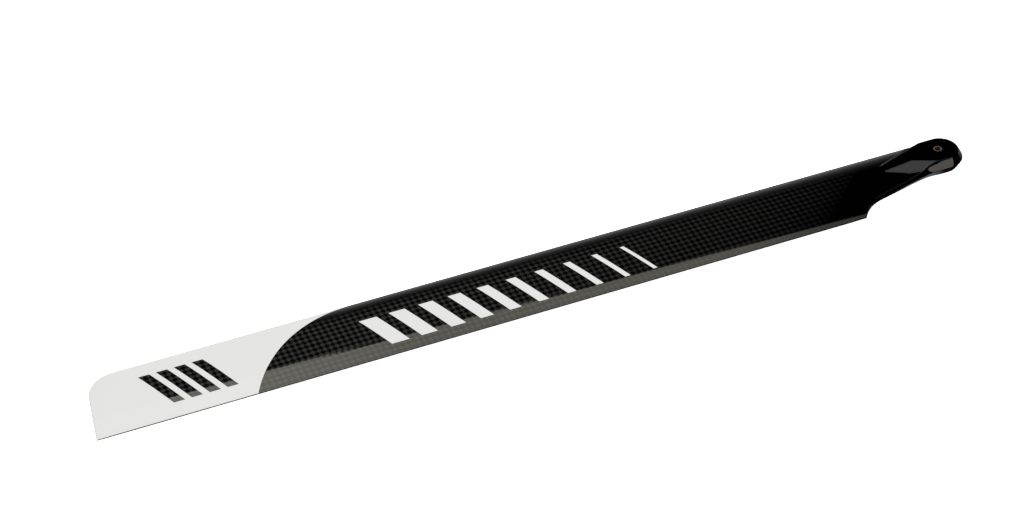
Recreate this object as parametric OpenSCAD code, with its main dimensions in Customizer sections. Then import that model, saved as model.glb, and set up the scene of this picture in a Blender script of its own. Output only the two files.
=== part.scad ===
// Main rotor blade of a model helicopter.
// The origin is the bolt centre at mid thickness. +X runs out to the tip, +Y to the trailing edge
// and +Z along the bolt. The section is symmetric, so both faces of the blade are alike.

/* [Planform] */
// Bolt centre to the outer end of the trailing edge
blade_length = 600; // [300:1:800]
// Leading edge to trailing edge
chord = 54.5; // [48:0.5:70]
// Bolt centre to the leading edge
leading_edge_offset = 15; // [14:0.5:18]
// Bolt centre to the inner end of the trailing edge
root_cut_length = 75.5; // [65:0.5:120]
// Angle at which the root cut meets the trailing edge, in degrees
root_cut_angle = 56; // [45:1:70]
// Radius of the root cut where it turns up to the trailing edge
root_cut_radius = 34; // [28:1:40]
// Bolt centre to the point where the straight neck leaves the line of the head
neck_start = 12.8; // [11:0.1:16]
// Slant of the tip edge in degrees, outermost at the trailing edge
tip_rake = 11; // [0:1:25]
// Radius of the tip's leading corner, seen from above
tip_corner_radius = 21; // [8:1:30]
// Depth of the rounding of the tip edge
tip_rounding = 3; // [1:0.5:5]

/* [Aerofoil] */
// Greatest thickness of the section
blade_thickness = 6.6; // [5:0.1:9]
// Thickness at the trailing edge
trailing_edge = 0.8; // [0.4:0.1:1.2]

/* [Root] */
// Thickness across the two flat faces
root_thickness = 12; // [10:0.5:16]
// Radius of the flat face around the bolt
pad_radius = 11.5; // [10:0.1:12.5]
// How far the bevelled side stands out from the flat face at mid thickness
side_bevel = 3.6; // [2.5:0.1:4]
// Centre of the round head, inboard of the bolt
head_offset = 2.2; // [0:0.1:3]
// Shift of the flat face towards the trailing edge
pad_shift = 0.6; // [0:0.1:1]
// Bolt centre to the shoulder from which the flat face narrows on its trailing side
aft_shoulder = 6.5; // [5:0.1:10]
// Reach of that shoulder towards the trailing edge
aft_shoulder_reach = 11.6; // [10.5:0.1:12]
// Bolt centre to the shoulder from which the flat face narrows on its leading side
fore_shoulder = 9; // [7:0.1:12]
// Reach of that shoulder towards the leading edge
fore_shoulder_reach = 10.8; // [10.3:0.1:11]
// Bolt centre to the outer end of the flat face
pad_length = 21.8; // [19:0.1:28]
// Reach of the flat face's outer end towards the trailing edge
pad_end_aft = 4.6; // [3:0.1:7]
// Reach of the flat face's outer end towards the leading edge
pad_end_fore = 6.2; // [5:0.1:8]
// Bolt centre to the point where the ramp has run down into the blade
ramp_length = 45; // [40:1:60]
// Slope of the facet on the leading side, in degrees
fore_facet_slope = 42; // [38:1:50]
// Slope of the flat facet on the trailing side, in degrees
aft_facet_slope = 17; // [15:0.5:22]

/* [Bolt bush] */
// Bolt hole, for an M4 bolt
bolt_hole_d = 4; // [3:0.5:4.5]
// Outer diameter of the bush
bush_d = 6; // [5.5:0.5:8]
// Glue line between the bush and the blade
glue_line = 0.05; // [0.02:0.01:0.15]
// Chamfer at both ends of the bush's bore
bush_chamfer = 0.3; // [0.1:0.1:0.4]

/* [Hidden] */

root_half = root_thickness / 2;
head_radius = pad_radius + side_bevel;
// The head's outline runs into the leading edge
head_shift = head_radius - leading_edge_offset;
trailing_edge_y = chord - leading_edge_offset;
// Inset of the trailing side for each millimetre of height above the middle
side_lean = (side_bevel + head_shift - pad_shift) / root_half;
// Blunt edge along the middle of the bevelled head
parting_edge = 0.4;
// Depth at which the blade's sections start inside the head
head_overlap = 1;
// Facets of the round head, sections along the neck, root cut and tip, and steps over the chord
head_facets = 48;
neck_sections = 5;
cut_sections = 9;
tip_sections = 16;
chord_steps = 22;
// Least thickness of the tip edge, as a share of the section behind it
tip_edge_share = 0.25;
// The root's facets and ramp end just below the skin of the blade
facet_foot_z = 0.38 * blade_thickness;
ramp_end_z = 0.47 * blade_thickness;
// Where the foot of the trailing facet starts and ends
facet_foot_x = [pad_length + 6, pad_length + 14];

// Half thickness of the section at a share u of the chord, by the four-digit symmetric law
function section_half(u) =
    5 * (blade_thickness - 0.3 * trailing_edge)
        * (0.2969 * sqrt(u) - 0.126 * u - 0.3516 * u ^ 2 + 0.2843 * u ^ 3 - 0.1036 * u ^ 4)
    + u * trailing_edge / 2;

// Root cut: a straight neck from the aft side of the head and an arc up to the trailing edge
head_aft = [-head_offset, head_radius + head_shift];
neck_corner = [neck_start, head_aft.y];
cut_corner = [root_cut_length, trailing_edge_y];
cut_centre = cut_corner + root_cut_radius * [-sin(root_cut_angle), cos(root_cut_angle)];
to_centre = cut_centre - neck_corner;
neck_angle = atan2(to_centre.y, to_centre.x) - asin(root_cut_radius / norm(to_centre));
function cut_arc(angle) = cut_centre + root_cut_radius * [sin(angle), -cos(angle)];
root_cut = [
    each [for (i = [1:neck_sections]) neck_corner + (cut_arc(neck_angle) - neck_corner) * i / neck_sections],
    each [for (i = [1:cut_sections]) cut_arc(neck_angle + (root_cut_angle - neck_angle) * i / cut_sections)]
];

// Tip: an arc that leaves the leading edge and runs into the slanted straight tip edge
arc_y = tip_corner_radius - leading_edge_offset;
arc_x = blade_length
    - (tip_corner_radius + (trailing_edge_y - arc_y) * sin(tip_rake)) / cos(tip_rake);
function tip_arc(angle) = [arc_x, arc_y] + tip_corner_radius * [cos(angle), sin(angle)];
function tip_rounding_share(from_edge) =
    let (depth = min(from_edge, tip_rounding) / tip_rounding)
    max(tip_edge_share, sqrt(1 - (1 - depth) ^ 2));

// A section: its leading point, its trailing point, the chord of its aerofoil and its thickness share
function head_section() =
    [[-head_offset, head_overlap - leading_edge_offset],
     head_aft - [0, head_overlap], chord, 1];
function root_section(aft) = [[aft.x, -leading_edge_offset], aft, chord, 1];
function tip_section(t) =
    let (angle = -90 + t * (90 - tip_rake),
         fore = tip_arc(angle),
         aft = [arc_x + (blade_length - arc_x) * cos(angle) / cos(tip_rake), trailing_edge_y],
         local_chord = norm(aft - fore))
    [fore, aft, local_chord, tip_rounding_share(blade_length - aft.x)];

// The closed loop of a section's points: over the top from the aft edge, round the nose and back
function section_loop(section) =
    let (fore = section[0],
         along = section[1] - section[0],
         width = norm(along),
         local_chord = section[2],
         scale_z = section[3] * local_chord / chord,
         edge_inset = side_lean * scale_z * (section_half(width / local_chord) - 0.4 * trailing_edge),
         surface = [for (k = [0:chord_steps])
             let (s = (width - edge_inset) * (1 - cos(180 * k / chord_steps)) / 2)
             [s / width, scale_z * section_half(s / local_chord)]],
         at = function (share, z) [each fore + share * along, z])
    [at(1, 0),
     each [for (k = [chord_steps:-1:0]) at(surface[k][0], surface[k][1])],
     each [for (k = [1:chord_steps]) at(surface[k][0], -surface[k][1])]];

sections = [
    head_section(),
    root_section(neck_corner - [0, parting_edge / 2]),
    each [for (aft = root_cut) root_section(aft)],
    each [for (i = [0:tip_sections]) tip_section(i / tip_sections)]
];

// Skin over a row of loops that all have the same number of points, closed at both ends
module loft(loops) {
    count = len(loops[0]);
    last = (len(loops) - 1) * count;
    sides = [for (i = [0:len(loops) - 2], k = [0:count - 1])
        let (a = i * count + k,
             b = i * count + (k + 1) % count,
             c = a + count,
             d = b + count)
        each [[a, d, b], [a, c, d]]];
    first_end = [for (k = [0:count - 1]) k];
    last_end = [for (k = [count - 1:-1:0]) last + k];
    polyhedron(points = [for (loop = loops) each loop], faces = concat([first_end], sides, [last_end]));
}

// A plate of the given outline, centred on the middle of the blade
module plate(thickness, outline) {
    linear_extrude(height = thickness, center = true) polygon(outline);
}

// Edges of the flat face from which the two facets run down
aft_edge = [[aft_shoulder, aft_shoulder_reach], [pad_length, pad_end_aft]];
fore_edge = [[fore_shoulder, -fore_shoulder_reach], [pad_length, -pad_end_fore]];
// Where a facet has come down to the height z, at the distance x from the bolt
function on_facet(edge, slope, side, z, x) =
    let (along = (edge[1] - edge[0]) / norm(edge[1] - edge[0]),
         start = edge[0] + side * (root_half - z) / tan(slope) * [-along.y, along.x])
    start + (x - start.x) / along.x * along;
function on_aft_facet(z, x) = on_facet(aft_edge, aft_facet_slope, 1, z, x);
function on_fore_facet(z, x) = on_facet(fore_edge, fore_facet_slope, -1, z, x);

// Root boss: the bevelled round head, its two flat faces and the facets that run down to the blade
module root_boss() {
    nose_y = parting_edge - leading_edge_offset;
    // The height at which the trailing facet meets the bevelled side, where the neck starts
    facet_y = on_aft_facet(root_half, neck_start).y;
    facet_run = on_aft_facet(root_half - 1, neck_start).y - facet_y;
    corner_z = (facet_y + root_half * facet_run - head_aft.y) / (facet_run - side_lean);
    hull() {
        translate([-head_offset, pad_shift, 0])
            cylinder(h = root_thickness, r = pad_radius, center = true, $fn = head_facets);
        translate([-head_offset, head_shift, 0])
            cylinder(h = parting_edge, r = head_radius, center = true, $fn = head_facets);
        plate(root_thickness, [each aft_edge, fore_edge[1], fore_edge[0]]);
        plate(2 * corner_z, [[0, 0], on_aft_facet(corner_z, neck_start), [pad_length, 0]]);
        plate(2 * facet_foot_z, [on_aft_facet(facet_foot_z, facet_foot_x[0]),
                                 on_aft_facet(facet_foot_z, facet_foot_x[1]),
                                 on_fore_facet(facet_foot_z, facet_foot_x[0])]);
        plate(2 * ramp_end_z, [on_aft_facet(ramp_end_z, ramp_length),
                               on_fore_facet(ramp_end_z, ramp_length), [0, 0]]);
        plate(parting_edge, [[0, nose_y], [fore_shoulder, nose_y], neck_corner]);
    }
}

// The moulded carbon blade, one piece from the root to the tip, bored for its bush
module blade() color("#1c1c1e") {
    difference() {
        union() {
            loft([for (section = sections) section_loop(section)]);
            root_boss();
        }
        cylinder(h = 2 * root_thickness, d = bush_d + 2 * glue_line, center = true, $fn = 48);
    }
}

// The turned bush for the bolt, flush with both flat faces
module bolt_bush() color("#8a6a4f") {
    bore = bolt_hole_d / 2;
    wall = bush_d / 2;
    rotate_extrude($fn = 48)
        polygon([[bore + bush_chamfer, -root_half], [wall, -root_half], [wall, root_half],
                 [bore + bush_chamfer, root_half], [bore, root_half - bush_chamfer],
                 [bore, bush_chamfer - root_half]]);
}

blade();
bolt_bush();
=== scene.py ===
import math

import bpy
import numpy as np
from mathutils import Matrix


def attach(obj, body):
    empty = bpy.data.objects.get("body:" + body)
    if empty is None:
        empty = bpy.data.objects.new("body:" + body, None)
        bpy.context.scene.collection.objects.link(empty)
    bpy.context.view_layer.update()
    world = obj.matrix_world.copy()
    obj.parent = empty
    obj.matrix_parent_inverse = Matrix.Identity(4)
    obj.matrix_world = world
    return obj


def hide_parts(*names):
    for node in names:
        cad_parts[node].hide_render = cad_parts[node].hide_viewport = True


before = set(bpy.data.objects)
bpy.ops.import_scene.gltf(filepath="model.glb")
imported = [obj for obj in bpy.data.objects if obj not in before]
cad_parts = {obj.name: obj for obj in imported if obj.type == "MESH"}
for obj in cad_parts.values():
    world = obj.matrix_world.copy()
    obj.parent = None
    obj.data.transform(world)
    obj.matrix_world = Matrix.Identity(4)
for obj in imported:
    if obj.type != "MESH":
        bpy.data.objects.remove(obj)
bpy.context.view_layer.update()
MM = 0.001

# Moulded blade: one hollow moulding of carbon cloth in epoxy, pressed in two mirrored halves that
# part along its outline. Its root is bored for a bush, and its skin is painted and clear coated.
# The upper half is a grid whose rows are sections from the head to the tip, and is then mirrored.

# Sizes are in millimetres from the bolt, with x out to the tip and y to the trailing edge.
LENGTH = 600.0
CHORD = 54.5
NOSE_Y = -15.0
TAIL_Y = NOSE_Y + CHORD
THICKNESS = 6.6
TAIL_THICKNESS = 0.8

# The round head and the flat face, called the pad, which narrows from its shoulders to its end
ROOT_HALF = 6.0
PAD_RADIUS = 11.5
PAD_Y = 0.6
SIDE_BEVEL = 3.6
HEAD_X = -2.2
HEAD_RADIUS = PAD_RADIUS + SIDE_BEVEL
HEAD_Y = NOSE_Y + HEAD_RADIUS
PAD_X = 21.8
PAD_FORE_Y = -6.2
PAD_AFT_Y = 4.6
FORE_SHOULDER_X = 9.0
FORE_SHOULDER_Y = -10.8
AFT_SHOULDER_X = 6.5
AFT_SHOULDER_Y = 11.6

# What falls away from the pad, and the outer end of the root
RAMP_SLOPE = 0.1249
FORE_FACET_SLOPE = math.tan(math.radians(42))
AFT_FACET_SLOPE = math.tan(math.radians(17))
PARTING_RADIUS = 0.16
TAIL_WALL_LEAN = 0.05
ROOT_END_X = 46
SEAT_RADIUS = 3.05

# The root cut and the tip
NECK_X = 12.8
NECK_BEND = 40.0
CUT_X = 75.5
CUT_ANGLE = math.radians(56)
CUT_RADIUS = 34.0
TIP_RAKE = math.radians(11)
TIP_RADIUS = 21.0
TIP_ROUNDING = 1.5

# Rows of the grid round the head, along the root cut, along the blade and at the tip, the spacing
# of those along the root, and the steps of each row
HEAD_ROWS = 54
ROOT_ROW_PITCH = 0.3
CUT_ROWS = 46
BLADE_ROWS = 46
TIP_ROWS = 44
SKIN_STEPS = 126


def section_half(share):
    """Half thickness of the symmetric section at a share of its chord, in mm."""
    bulge = (
        0.2969 * np.sqrt(share)
        - 0.126 * share
        - 0.3516 * share**2
        + 0.2843 * share**3
        - 0.1036 * share**4
    )
    return 5 * (THICKNESS - 0.3 * TAIL_THICKNESS) * bulge + share * TAIL_THICKNESS / 2


def soft_min(a, b, blend):
    """The lower of two heights, with the edge between them rounded over."""
    weight = np.clip(0.5 + 0.5 * (b - a) / blend, 0, 1)
    return b + (a - b) * weight - blend * weight * (1 - weight)


# The root cut leaves the head in a slight bend, runs straight along the neck and turns up in an arc.
neck_corner = np.array((NECK_X, HEAD_Y + HEAD_RADIUS))
cut_centre = np.array(
    (CUT_X - CUT_RADIUS * math.sin(CUT_ANGLE), TAIL_Y + CUT_RADIUS * math.cos(CUT_ANGLE))
)
to_centre = cut_centre - neck_corner
neck_angle = math.atan2(to_centre[1], to_centre[0])
neck_angle -= math.asin(CUT_RADIUS / np.linalg.norm(to_centre))
bend_centre = neck_corner + NECK_BEND * np.array((-math.tan(neck_angle / 2), 1))
bend = np.linspace(0, neck_angle, 60)
turn = np.linspace(neck_angle, CUT_ANGLE, 400)
bend_x = bend_centre[0] + NECK_BEND * np.sin(bend)
bend_y = bend_centre[1] - NECK_BEND * np.cos(bend)
cut_x = np.concatenate((bend_x, cut_centre[0] + CUT_RADIUS * np.sin(turn)))
cut_y = np.concatenate((bend_y, cut_centre[1] - CUT_RADIUS * np.cos(turn)))
cut_slope = np.tan(np.concatenate((bend, turn)))

# Each row holds its leading point, its trailing point, the chord of its section and its share of
# the thickness. The rows lie closest along the root.
rows = []
for angle in np.radians(np.linspace(0, 90, HEAD_ROWS + 1)[:-1]):
    x = HEAD_X - HEAD_RADIUS * math.cos(angle)
    reach = HEAD_RADIUS * math.sin(angle)
    rows.append((x, HEAD_Y - reach, x, HEAD_Y + reach, CHORD, 1))
root_x = np.arange(HEAD_X, ROOT_END_X, ROOT_ROW_PITCH)
for x in np.concatenate((root_x, np.linspace(ROOT_END_X + 0.2, CUT_X, CUT_ROWS))):
    rows.append((x, NOSE_Y, x, np.interp(x, cut_x, cut_y), CHORD, 1))
arc_y = NOSE_Y + TIP_RADIUS
arc_x = LENGTH - (TIP_RADIUS + (TAIL_Y - arc_y) * math.sin(TIP_RAKE)) / math.cos(TIP_RAKE)
for x in np.linspace(CUT_X, arc_x, BLADE_ROWS)[1:-1]:
    rows.append((x, NOSE_Y, x, TAIL_Y, CHORD, 1))
for angle in np.linspace(-math.pi / 2, -TIP_RAKE, TIP_ROWS):
    fore_x = arc_x + TIP_RADIUS * math.cos(angle)
    fore_y = arc_y + TIP_RADIUS * math.sin(angle)
    aft_x = arc_x + (LENGTH - arc_x) * math.cos(angle) / math.cos(TIP_RAKE)
    depth = min(LENGTH - aft_x, TIP_ROUNDING) / TIP_ROUNDING
    chord_here = math.hypot(aft_x - fore_x, TAIL_Y - fore_y)
    share = math.sqrt(max(0, 1 - (1 - depth) ** 2)) * chord_here / CHORD
    rows.append((fore_x, fore_y, aft_x, TAIL_Y, chord_here, share))
rows = np.array(rows)

bpy.ops.object.select_all(action="DESELECT")
bpy.ops.mesh.primitive_grid_add(x_subdivisions=len(rows) - 1, y_subdivisions=SKIN_STEPS, size=1)
skin = bpy.context.object
skin.name = skin.data.name = "blade_skin"
corners = np.empty(3 * len(skin.data.vertices))
skin.data.vertices.foreach_get("co", corners)
corners = corners.reshape(-1, 3)
row_numbers = np.rint((corners[:, 0] + 0.5) * (len(rows) - 1)).astype(int)
fore_x, fore_y, aft_x, aft_y, chord_here, thickness_share = rows[row_numbers].T
across = (1 - np.cos(np.pi * (corners[:, 1] + 0.5))) / 2
x = fore_x + across * (aft_x - fore_x)
y = fore_y + across * (aft_y - fore_y)
width = np.hypot(aft_x - fore_x, aft_y - fore_y)
aerofoil = thickness_share * section_half(across * width / chord_here)

# The sides lean in from the outline, and the parting edge between the halves is rounded. Round the
# head they lean a little more on the leading side, because the pad is set back from it.
reach = np.hypot(x - HEAD_X, y - HEAD_Y)
from_head = HEAD_RADIUS - reach
set_back = HEAD_Y - PAD_Y
head_lean = (SIDE_BEVEL + set_back * (y - HEAD_Y) / np.maximum(reach, 1)) / ROOT_HALF
side_lean = (SIDE_BEVEL + HEAD_Y - PAD_Y) / ROOT_HALF
cut_here = np.interp(x, cut_x, cut_y) + np.maximum(x - CUT_X, 0) * math.tan(CUT_ANGLE)
from_cut = (cut_here - y) / np.hypot(1, np.interp(x, cut_x, cut_slope))
in_head = x < HEAD_X
blade_wall = np.minimum(from_cut / side_lean, (TAIL_Y - y) / TAIL_WALL_LEAN)
aft_wall = np.where(in_head, from_head / head_lean, blade_wall)
pad_fore_edge = np.interp(
    x, (HEAD_X, FORE_SHOULDER_X, PAD_X), (PAD_Y - PAD_RADIUS, FORE_SHOULDER_Y, PAD_FORE_Y)
)
nose_wall = ROOT_HALF * (y - NOSE_Y) / (pad_fore_edge - NOSE_Y)
fore_wall = np.where(in_head, 2 * ROOT_HALF, nose_wall)
aft_wall, fore_wall = (
    np.sqrt((np.maximum(wall, 0) + PARTING_RADIUS) ** 2 - PARTING_RADIUS**2)
    for wall in (aft_wall, fore_wall)
)

# The root's roof is the pad with the ramp and the facets that fall away from it. Its edges are
# rounded over, most of all where the trailing facet runs out along the root cut.
ramp = ROOT_HALF - RAMP_SLOPE * (x - PAD_X)
aft_slant = (PAD_AFT_Y - AFT_SHOULDER_Y) / (PAD_X - AFT_SHOULDER_X)
past_aft = (y - PAD_AFT_Y - aft_slant * (x - PAD_X)) / math.hypot(1, aft_slant)
aft_facet = ROOT_HALF - AFT_FACET_SLOPE * past_aft
fore_slant = (PAD_FORE_Y - FORE_SHOULDER_Y) / (PAD_X - FORE_SHOULDER_X)
past_fore = (PAD_FORE_Y + fore_slant * (x - PAD_X) - y) / math.hypot(1, fore_slant)
fore_facet = ROOT_HALF - FORE_FACET_SLOPE * past_fore
roof = soft_min(np.full_like(x, ROOT_HALF), ramp, blend=0.1)
roof = soft_min(roof, aft_facet, blend=0.22)
roof = soft_min(roof, fore_facet, blend=0.35)
roof = soft_min(roof, aft_wall, blend=np.interp(x, (2, 8, 19), (0.7, 1.4, 0.6)))
roof = soft_min(roof, fore_wall, blend=0.6)

# Behind the trailing facet the skin rises a little towards the head, from RISE_X inwards.
RISE_X = 29
RISE_RUN = 22
RISE_SLOPE = 0.075
behind_facet = np.clip((y - 2) / 8, 0, 1)
aerofoil = aerofoil + RISE_SLOPE * np.clip(RISE_X - x, 0, RISE_RUN) * behind_facet
aerofoil = soft_min(aerofoil, aft_wall, blend=0.2 * aerofoil + 1e-6)

# The round nose starts flush with the head's side, and a fillet joins the skin to the roof.
nose_limit = fore_wall * (1 + 0.5 * np.maximum(x - HEAD_X, 0))
aerofoil = np.minimum(aerofoil, nose_limit)
fillet = 0.12 * np.clip(np.minimum(aerofoil, roof), 1e-6, 1.5)
z = -soft_min(-aerofoil, -roof, blend=fillet)
on_outline = (np.abs(corners[:, :2]) > 0.4999).any(axis=1)
z = np.where(on_outline, 0, np.clip(z, 0, ROOT_HALF))
skin.data.vertices.foreach_set("co", (MM * np.stack((x, y, z), axis=1)).ravel())

bpy.ops.object.modifier_add(type="MIRROR")
mirror = skin.modifiers[-1]
mirror.use_axis = (False, False, True)
mirror.merge_threshold = 1e-6
bpy.ops.object.modifier_apply(modifier=mirror.name)
bpy.ops.object.mode_set(mode="EDIT")
bpy.ops.mesh.select_all(action="SELECT")
bpy.ops.mesh.remove_doubles(threshold=1e-6)
bpy.ops.mesh.normals_make_consistent(inside=False)
bpy.ops.object.mode_set(mode="OBJECT")

bpy.ops.mesh.primitive_cylinder_add(vertices=96, radius=SEAT_RADIUS * MM, depth=20 * MM)
drill = bpy.context.object
bpy.ops.object.select_all(action="DESELECT")
bpy.context.view_layer.objects.active = skin
skin.select_set(True)
bpy.ops.object.modifier_add(type="BOOLEAN")
bore = skin.modifiers[-1]
bore.object = drill
bore.solver = "EXACT"
bpy.ops.object.modifier_apply(modifier=bore.name)
bpy.data.objects.remove(drill)
bpy.ops.object.shade_smooth_by_angle(angle=math.radians(50))


def linear(hex_colour):
    """A linear colour from an sRGB hex value."""
    parts = [int(hex_colour[i : i + 2], 16) / 255 for i in (1, 3, 5)]
    return [c / 12.92 if c <= 0.04045 else ((c + 0.055) / 1.055) ** 2.4 for c in parts] + [1]


def add(tree, kind, inputs=(), **settings):
    """Adds a node, sets it up, and links or fills its inputs, by their names or places.

    Map Range takes a value, its limits, and what they become. Mix takes its share at 0, and numbers
    at 2 and 3 or colours at 6 and 7.
    """
    made = tree.nodes.new("ShaderNode" + kind)
    for name, value in settings.items():
        setattr(made, name, value)
    for key, value in dict(inputs).items():
        if isinstance(value, bpy.types.NodeSocket):
            tree.links.new(value, made.inputs[key])
        else:
            made.inputs[key].default_value = value
    return made


# Plain weave carbon laid at 45 degrees under a gloss clear coat. Each tow is 2.8 mm wide and shows
# as diamonds that stand 4 mm apart along and across the blade, light where its fibres face the
# light and dark where they don't. That light and dark is painted sheen: the base colour is light
# grey in the lit diamonds and black in the others, whatever the lamps.
WEAVE_PITCH = 4.0
coated_carbon = bpy.data.materials.new("clear_coated_plain_weave_carbon")
coated_carbon.use_nodes = True
tree = coated_carbon.node_tree
tree.nodes.clear()
place = add(tree, "TexCoord").outputs["Object"]
axes = add(tree, "SeparateXYZ", {0: place}).outputs
along = add(tree, "Math", {0: axes[0], 1: 1 / MM}, operation="MULTIPLY").outputs[0]
over = add(tree, "Math", {0: axes[1], 1: 1 / MM}, operation="MULTIPLY").outputs[0]
waves = []
for distance in (over, along):
    lap = {0: distance, 1: 2 * math.pi / WEAVE_PITCH}
    phase = add(tree, "Math", lap, operation="MULTIPLY").outputs[0]
    waves.append(add(tree, "Math", {0: phase}, operation="COSINE").outputs[0])
tows = add(tree, "Math", {0: waves[0], 1: waves[1]}, operation="SUBTRACT").outputs[0]
# Painted sheen of the tows that face the light, from nought to one
painted_tow_sheen = add(
    tree,
    "MapRange",
    {0: tows, 1: -1.4, 2: 2.0, 3: 0.05, 4: 1},
    interpolation_type="SMOOTHSTEP",
).outputs[0]
painted_tow_sheen = add(tree, "Math", {0: painted_tow_sheen, 1: 1.2}, operation="POWER").outputs[0]

# Fibres run along the tows. At their real 7 microns they would not show, so they are drawn 0.25 mm
# apart.
FIBRE_PITCH = 0.25
FIBRE_SCALE = (120, 1 / (FIBRE_PITCH * MM), 1)
fibre_lay = add(tree, "Mapping", {0: place, 2: (0, 0, math.pi / 4), 3: FIBRE_SCALE}).outputs[0]
fibres = add(tree, "TexNoise", {"Vector": fibre_lay, "Scale": 1, "Detail": 2}).outputs["Fac"]
fibre_tone = add(tree, "MapRange", {0: fibres, 1: 0.3, 2: 0.7, 3: 0.7, 4: 1.3}).outputs[0]
painted_tow_sheen = add(tree, "Math", {0: painted_tow_sheen, 1: fibre_tone}, operation="MULTIPLY").outputs[0]

# Towards the root and along the nose the cloth sinks under black gel coat. The edge of that coat is
# slanted, and from it outwards the diamonds' painted sheen strengthens gradually.
GEL_SLANT = -1.18
GEL_FROM, GEL_TO = 62, 400
slanted = add(tree, "Math", {0: over, 1: GEL_SLANT, 2: along}, operation="MULTIPLY_ADD").outputs[0]
shown = add(tree, "MapRange", {0: slanted, 1: GEL_FROM, 2: GEL_TO, 3: 0, 4: 1}).outputs[0]
shown = add(tree, "Math", {0: shown, 1: 0.54}, operation="POWER").outputs[0]
off_nose = add(
    tree,
    "MapRange",
    {0: over, 1: NOSE_Y + 5, 2: NOSE_Y + 16, 3: 0, 4: 1},
    interpolation_type="SMOOTHSTEP",
).outputs[0]
shown = add(tree, "Math", {0: shown, 1: off_nose}, operation="MULTIPLY").outputs[0]
painted_tow_sheen = add(tree, "Math", {0: painted_tow_sheen, 1: shown}, operation="MULTIPLY").outputs[0]
# The painted sheen turns the black base colour light grey in the lit diamonds.
carbon = add(
    tree,
    "Mix",
    {0: painted_tow_sheen, 6: linear("#010102"), 7: linear("#373735")},
    data_type="RGBA",
    clamp_factor=False,
).outputs[2]

BAR_LEAN = 0.45


def between(tree, value, low, high):
    """One where a value lies between two limits, and nought elsewhere."""
    above = add(tree, "Math", {0: value, 1: low}, operation="GREATER_THAN").outputs[0]
    below = add(tree, "Math", {0: value, 1: high}, operation="LESS_THAN").outputs[0]
    return add(tree, "Math", {0: above, 1: below}, operation="MULTIPLY").outputs[0]


def slanted_bars(tree, along, over, start, pitch, count, sides, shares):
    """A row of slanted bars whose share of the pitch changes from the first to the last."""
    lean = {0: over, 1: BAR_LEAN, 2: along}
    leaning = add(tree, "Math", lean, operation="MULTIPLY_ADD").outputs[0]
    step = add(tree, "Math", {0: leaning, 1: start}, operation="SUBTRACT").outputs[0]
    step = add(tree, "Math", {0: step, 1: pitch}, operation="DIVIDE").outputs[0]
    share = add(tree, "MapRange", {0: step, 1: 0, 2: count, 3: shares[0], 4: shares[1]}).outputs[0]
    within = add(tree, "Math", {0: step}, operation="FRACT").outputs[0]
    bar = add(tree, "Math", {0: within, 1: share}, operation="LESS_THAN").outputs[0]
    for limit in (between(tree, step, 0, count), between(tree, over, *sides)):
        bar = add(tree, "Math", {0: bar, 1: limit}, operation="MULTIPLY").outputs[0]
    return bar


# White paint covers the tip beyond an arc that leaves the nose and crosses to the trailing edge.
# Slanted bars cut from masking film show the cloth in the paint and lay paint on the cloth, and say
# which way the tip is.
PAINT_X = 405.0
PAINT_RADIUS = 105.0
# The paint stops this many mm short of the trailing edge, so a dark line runs along the tip's edge.
DARK_TAIL_BAND = 0.06
arc_centre = add(tree, "CombineXYZ", {0: PAINT_X, 1: NOSE_Y + PAINT_RADIUS}).outputs[0]
flat_place = add(tree, "CombineXYZ", {0: along, 1: over}).outputs[0]
ends = {0: flat_place, 1: arc_centre}
from_arc = add(tree, "VectorMath", ends, operation="DISTANCE").outputs["Value"]
past_arc = add(tree, "Math", {0: from_arc, 1: PAINT_RADIUS}, operation="GREATER_THAN").outputs[0]
outboard = add(tree, "Math", {0: along, 1: PAINT_X}, operation="GREATER_THAN").outputs[0]
off_tail = add(tree, "Math", {0: over, 1: TAIL_Y - DARK_TAIL_BAND}, operation="LESS_THAN").outputs[0]
tip_paint = add(tree, "Math", {0: past_arc, 1: outboard}, operation="MULTIPLY").outputs[0]
tip_paint = add(tree, "Math", {0: tip_paint, 1: off_tail}, operation="MULTIPLY").outputs[0]
tip_bars = slanted_bars(
    tree, along, over, start=518.0, pitch=11.5, count=4, sides=(-1.0, 28.0), shares=(0.62, 0.62)
)
blade_bars = slanted_bars(
    tree, along, over, start=237.0, pitch=19.0, count=10, sides=(5.0, 31.0), shares=(0.14, 0.64)
)
bars = add(tree, "Math", {0: tip_bars, 1: blade_bars}, operation="ADD").outputs[0]
white = add(tree, "Math", {0: tip_paint, 1: bars}, operation="SUBTRACT").outputs[0]
white = add(tree, "Math", {0: white}, operation="ABSOLUTE").outputs[0]
coats = {0: white, 6: carbon, 7: linear("#e7e7e6")}
paint = add(tree, "Mix", coats, data_type="RGBA").outputs[2]

# The tows' crowns stand a little proud, and the clear coat over them is about a micron wavy, so
# that the edge of a reflection wavers. The paint is less glossy than the bare coat.
CROWN_HEIGHT = 0.05
RIPPLE_HEIGHT = 0.0012
crown = add(tree, "Math", {0: tows}, operation="ABSOLUTE").outputs[0]
crown = add(tree, "Math", {0: crown, 1: shown}, operation="MULTIPLY").outputs[0]
crowns = {"Height": crown, "Strength": 0.25, "Distance": CROWN_HEIGHT * MM}
cloth = add(tree, "Bump", crowns).outputs[0]
swell = add(tree, "Math", {0: tows, 1: shown}, operation="MULTIPLY").outputs[0]
swells = {"Height": swell, "Strength": 1.0, "Distance": RIPPLE_HEIGHT * MM}
ripple = add(tree, "Bump", swells).outputs[0]
coat = add(tree, "MapRange", {0: white, 3: 1, 4: 0.1}).outputs[0]
surface = add(
    tree,
    "BsdfPrincipled",
    {
        "Base Color": paint,
        "Roughness": 0.5,
        "Normal": cloth,
        "Specular IOR Level": 0.0,
        "Coat Weight": coat,
        "Coat Roughness": 0.03,
        "Coat IOR": 1.5,
        "Coat Normal": ripple,
    },
)
add(tree, "OutputMaterial", {"Surface": surface.outputs[0]})
skin.data.materials.clear()
skin.data.materials.append(coated_carbon)
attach(skin, "root")
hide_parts("blade")

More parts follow.
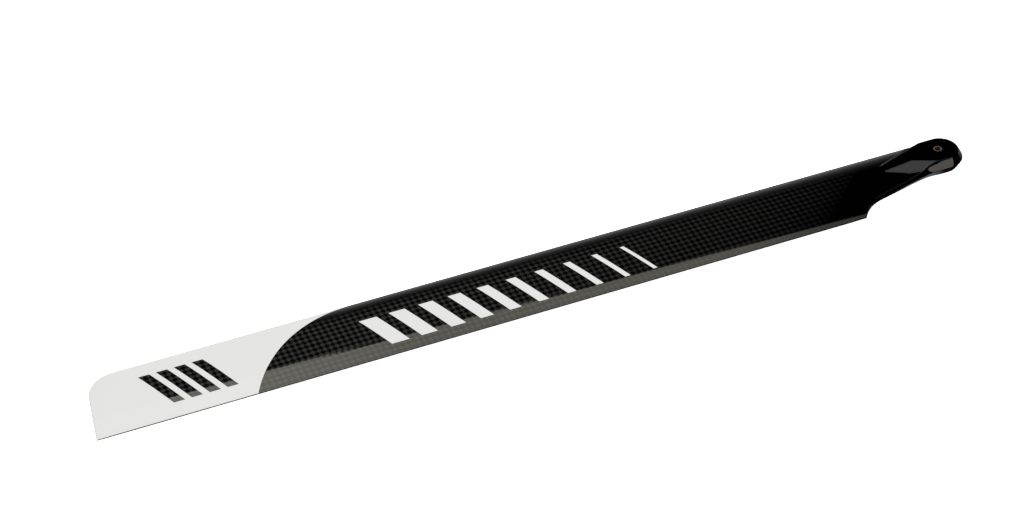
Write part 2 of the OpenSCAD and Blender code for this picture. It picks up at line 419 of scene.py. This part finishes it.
# Bolt bush: a turned bronze sleeve that takes the wear of the blade bolt. It is glued into the bored
# root, flush with both flat faces. Its bore is chamfered and its outer edges are broken.
BUSH_BORE = 2.0
BUSH_RADIUS = 3.0
BORE_CHAMFER = 0.3
EDGE_BREAK = 0.2
bpy.ops.object.select_all(action="DESELECT")
bpy.ops.mesh.primitive_circle_add(vertices=8, radius=BUSH_RADIUS * MM)
sleeve = bpy.context.object
sleeve.name = sleeve.data.name = "bush_sleeve"
profile = (
    (BUSH_BORE + BORE_CHAMFER, ROOT_HALF),
    (BUSH_RADIUS - EDGE_BREAK, ROOT_HALF),
    (BUSH_RADIUS, ROOT_HALF - EDGE_BREAK),
    (BUSH_RADIUS, EDGE_BREAK - ROOT_HALF),
    (BUSH_RADIUS - EDGE_BREAK, -ROOT_HALF),
    (BUSH_BORE + BORE_CHAMFER, -ROOT_HALF),
    (BUSH_BORE, BORE_CHAMFER - ROOT_HALF),
    (BUSH_BORE, ROOT_HALF - BORE_CHAMFER),
)
for corner, (radius, height) in zip(sleeve.data.vertices, profile):
    corner.co = (radius * MM, 0, height * MM)
bpy.ops.object.mode_set(mode="EDIT")
bpy.ops.mesh.select_all(action="SELECT")
bpy.ops.mesh.spin(steps=96, angle=2 * math.pi, center=(0, 0, 0), axis=(0, 0, 1))
bpy.ops.mesh.select_all(action="SELECT")
bpy.ops.mesh.remove_doubles(threshold=1e-6)
bpy.ops.mesh.normals_make_consistent(inside=False)
bpy.ops.object.mode_set(mode="OBJECT")
bpy.ops.object.shade_smooth_by_angle(angle=math.radians(30))

# Turned bronze, dulled by handling: the lathe leaves rings, drawn 0.2 mm apart, and tarnish browns
# it in patches 1.7 mm wide. At a scale of 1, a wave texture repeats every 2 pi / 20.
RING_PITCH = 0.2
RING_SCALE = 0.05 / (RING_PITCH * MM) * 2 * math.pi
PATCH_SCALE = 600
bronze = bpy.data.materials.new("dull_turned_bronze")
bronze.use_nodes = True
tree = bronze.node_tree
tree.nodes.clear()
place = add(tree, "TexCoord").outputs["Object"]
rings = add(
    tree,
    "TexWave",
    {"Vector": place, "Scale": RING_SCALE},
    wave_type="RINGS",
    rings_direction="Z",
).outputs["Fac"]
tarnish = add(tree, "TexNoise", {"Vector": place, "Scale": PATCH_SCALE, "Detail": 3}).outputs["Fac"]
tones = {0: tarnish, 6: linear("#c6b3a2"), 7: linear("#a38c7a")}
tone = add(tree, "Mix", tones, data_type="RGBA").outputs[2]
dulled = add(tree, "MapRange", {0: tarnish, 3: 0.35, 4: 0.55}).outputs[0]
turned = add(tree, "Bump", {"Height": rings, "Strength": 0.3, "Distance": 0.01 * MM}).outputs[0]
surface = add(
    tree,
    "BsdfPrincipled",
    {"Base Color": tone, "Metallic": 1.0, "Roughness": dulled, "Normal": turned},
)
add(tree, "OutputMaterial", {"Surface": surface.outputs[0]})
sleeve.data.materials.append(bronze)
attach(sleeve, "root")
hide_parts("bolt_bush")

# Table, light and camera: the blade lies on a glowing white table, on the outer edge of its pad and
# the thick part of its tip. Softboxes hang behind it and over it, and one stands low in front. The
# room is dark, apart from a glow low down on its rear wall.
REST_PAD_X = 22
REST_TIP_X = 590
TABLE_GAP = 0.05
table_tilt = -math.atan((ROOT_HALF - THICKNESS / 2) / (REST_TIP_X - REST_PAD_X))
bpy.ops.object.select_all(action="DESELECT")
bpy.ops.mesh.primitive_plane_add(
    size=8,
    location=(REST_PAD_X * MM, 0, -(ROOT_HALF + TABLE_GAP) * MM),
    rotation=(0, table_tilt, 0),
)
table = bpy.context.object
table.name = "table"
light_table = bpy.data.materials.new("white_light_table")
light_table.use_nodes = True
tree = light_table.node_tree
tree.nodes.clear()

# In the blade's gloss, black cards cover the table. They leave open a patch in front of the neck,
# and a greyer one inboard of the head. The places of the cards' soft edges are in metres.
spot = add(tree, "SeparateXYZ", {0: add(tree, "NewGeometry").outputs["Position"]}).outputs
in_front = add(tree, "MapRange", {0: spot[1], 1: 0.0, 2: 0.02, 3: 0.0, 4: 1.0}).outputs[0]
past_head = add(tree, "MapRange", {0: spot[0], 1: 0.0, 2: 0.008, 3: 0.0, 4: 1.0}).outputs[0]
at_neck = add(tree, "MapRange", {0: spot[0], 1: 0.036, 2: 0.03, 3: 0.0, 4: 1.0}).outputs[0]
by_neck = add(tree, "Math", {0: in_front, 1: past_head}, operation="MULTIPLY").outputs[0]
by_neck = add(tree, "Math", {0: by_neck, 1: at_neck}, operation="MULTIPLY").outputs[0]
by_neck = add(tree, "MapRange", {0: by_neck, 3: 0.02, 4: 0.6}).outputs[0]
inboard = add(tree, "MapRange", {0: spot[0], 1: -0.018, 2: -0.028, 3: 0.0, 4: 0.3}).outputs[0]
behind = add(tree, "MapRange", {0: spot[1], 1: 0.011, 2: -0.004, 3: 0.0, 4: 1.0}).outputs[0]
inboard = add(tree, "Math", {0: inboard, 1: behind}, operation="MULTIPLY").outputs[0]
card_glow = add(tree, "Math", {0: by_neck, 1: inboard}, operation="MAXIMUM").outputs[0]
ray = add(tree, "LightPath").outputs
white_sheet = add(tree, "BsdfDiffuse", {0: linear("#f4f4f4")}).outputs[0]
under_light = add(tree, "Emission", {0: (1, 1, 1, 1), 1: ray["Is Camera Ray"]}).outputs[0]
seen = add(tree, "AddShader", {0: white_sheet, 1: under_light}).outputs[0]
in_gloss = add(tree, "Emission", {0: (1, 0.97, 0.92, 1), 1: card_glow}).outputs[0]
surface = add(tree, "MixShader", {0: ray["Is Glossy Ray"], 1: seen, 2: in_gloss})
add(tree, "OutputMaterial", {"Surface": surface.outputs[0]})
table.data.materials.append(light_table)

# The wall's glow shows in a first reflection only, because a second one would draw a streak where
# the root's facet mirrors the skin. What isn't gloss gets an even light from all round.
ROOM_LIGHT = 0.885
world = bpy.data.worlds.new("dark_room")
bpy.context.scene.world = world
world.use_nodes = True
tree = world.node_tree
tree.nodes.clear()
heading = add(tree, "TexCoord").outputs["Generated"]
axes = add(tree, "SeparateXYZ", {0: heading}).outputs
low_down = add(
    tree,
    "MapRange",
    {0: axes[2], 1: 0.08, 2: 0.58, 3: 0.8, 4: 0.0},
    interpolation_type="SMOOTHSTEP",
).outputs[0]
at_rear = add(
    tree,
    "MapRange",
    {0: axes[1], 1: -0.2, 2: -0.7, 3: 0.0, 4: 1.0},
    interpolation_type="SMOOTHSTEP",
).outputs[0]
wall_glow = add(tree, "Math", {0: low_down, 1: at_rear}, operation="MULTIPLY").outputs[0]
ray = add(tree, "LightPath").outputs
first_image = add(tree, "Math", {0: ray["Glossy Depth"], 1: 1.5}, operation="LESS_THAN").outputs[0]
wall_glow = add(tree, "Math", {0: wall_glow, 1: first_image}, operation="MULTIPLY").outputs[0]
glows = {0: ray["Is Glossy Ray"], 2: ROOM_LIGHT, 3: wall_glow}
glow = add(tree, "Mix", glows, data_type="FLOAT").outputs[0]
backdrop = add(tree, "Background", {0: (1, 1, 1, 1), 1: glow})
add(tree, "OutputWorld", {0: backdrop.outputs[0]})


def softbox(name, middle, right, up, size, tint, glow):
    """A softbox with the directions of its width and height.

    Its glow is a row of (x, strength) pairs.
    """
    lamp = bpy.data.lights.new(name, "AREA")
    lamp.shape = "RECTANGLE"
    lamp.size, lamp.size_y = size
    lamp.energy = math.pi * size[0] * size[1]
    lamp.use_nodes = True
    tree = lamp.node_tree
    tree.nodes.clear()
    first, last, peak = glow[0][0], glow[-1][0], max(strength for x, strength in glow)
    spot = add(tree, "SeparateXYZ", {0: add(tree, "NewGeometry").outputs["Position"]}).outputs
    share = add(tree, "MapRange", {0: spot[0], 1: first, 2: last}).outputs[0]
    ramp = add(tree, "ValToRGB", {0: share})
    stops = ramp.color_ramp.elements
    for x, strength in glow[1:-1]:
        stops.new((x - first) / (last - first))
    for stop, (x, strength) in zip(stops, glow):
        stop.color = (*[strength / peak] * 3, 1)
    strength = add(tree, "Math", {0: ramp.outputs[0], 1: peak}, operation="MULTIPLY").outputs[0]
    cloth = add(tree, "Emission", {0: (*tint, 1), 1: strength})
    add(tree, "OutputLight", {0: cloth.outputs[0]})
    right, up = np.array(right, float), np.array(up, float)
    right /= np.linalg.norm(right)
    up -= right * (right @ up)
    up /= np.linalg.norm(up)
    place = np.eye(4)
    place[:3, :3] = np.stack((right, up, np.cross(right, up)), axis=1)
    place[:3, 3] = middle
    box = bpy.data.objects.new(name, lamp)
    bpy.context.collection.objects.link(box)
    box.matrix_world = place.T.tolist()


softbox(
    "rear_softbox",
    middle=(-0.2686, -0.9258, 1.5),
    right=(0.981, -0.196, 0),
    up=(0, 1, 0),
    size=(1.6, 0.22),
    tint=(1, 0.97, 0.84),
    glow=(
        (-0.8, 0.5),
        (-0.7, 0.76),
        (-0.58, 1.52),
        (-0.48, 1.63),
        (-0.12, 1.84),
        (-0.03, 2.2),
        (0.05, 2.42),
    ),
)
softbox(
    "overhead_softbox",
    middle=(-0.2, -0.42, 1.5),
    right=(1, 0, 0),
    up=(0, 1, 0),
    size=(1.6, 0.4),
    tint=(1, 1, 1.03),
    glow=((-1.0, 1.07), (0.6, 1.07)),
)
softbox(
    "front_softbox",
    middle=(-0.642, 1.412, 0.328),
    right=(-0.92, -0.38, 0.219),
    up=(0, 0, 1),
    size=(1.04, 0.44),
    tint=(1, 0.92, 0.84),
    glow=((-1.1, 1.9), (0.0, 1.9)),
)

# A long lens, whose focal length is 3060 pixels of a picture that is 1024 pixels wide
FOCAL_PIXELS = 3060
PICTURE_WIDTH = 1024
SENSOR_WIDTH = 36
CAMERA_ELEVATION = 39.068
CAMERA_AZIMUTH = 155.908
lens = bpy.data.cameras.new("camera")
lens.sensor_width = SENSOR_WIDTH
lens.lens = FOCAL_PIXELS / PICTURE_WIDTH * SENSOR_WIDTH
lens.clip_end = 20
camera = bpy.data.objects.new("camera", lens)
camera.location = (0.92384, 1.37094, 1.23584)
camera.rotation_euler = (
    math.radians(90 - CAMERA_ELEVATION),
    0,
    math.radians(CAMERA_AZIMUTH),
)
bpy.context.collection.objects.link(camera)
bpy.context.scene.camera = camera
bpy.context.scene.view_settings.view_transform = "Standard"
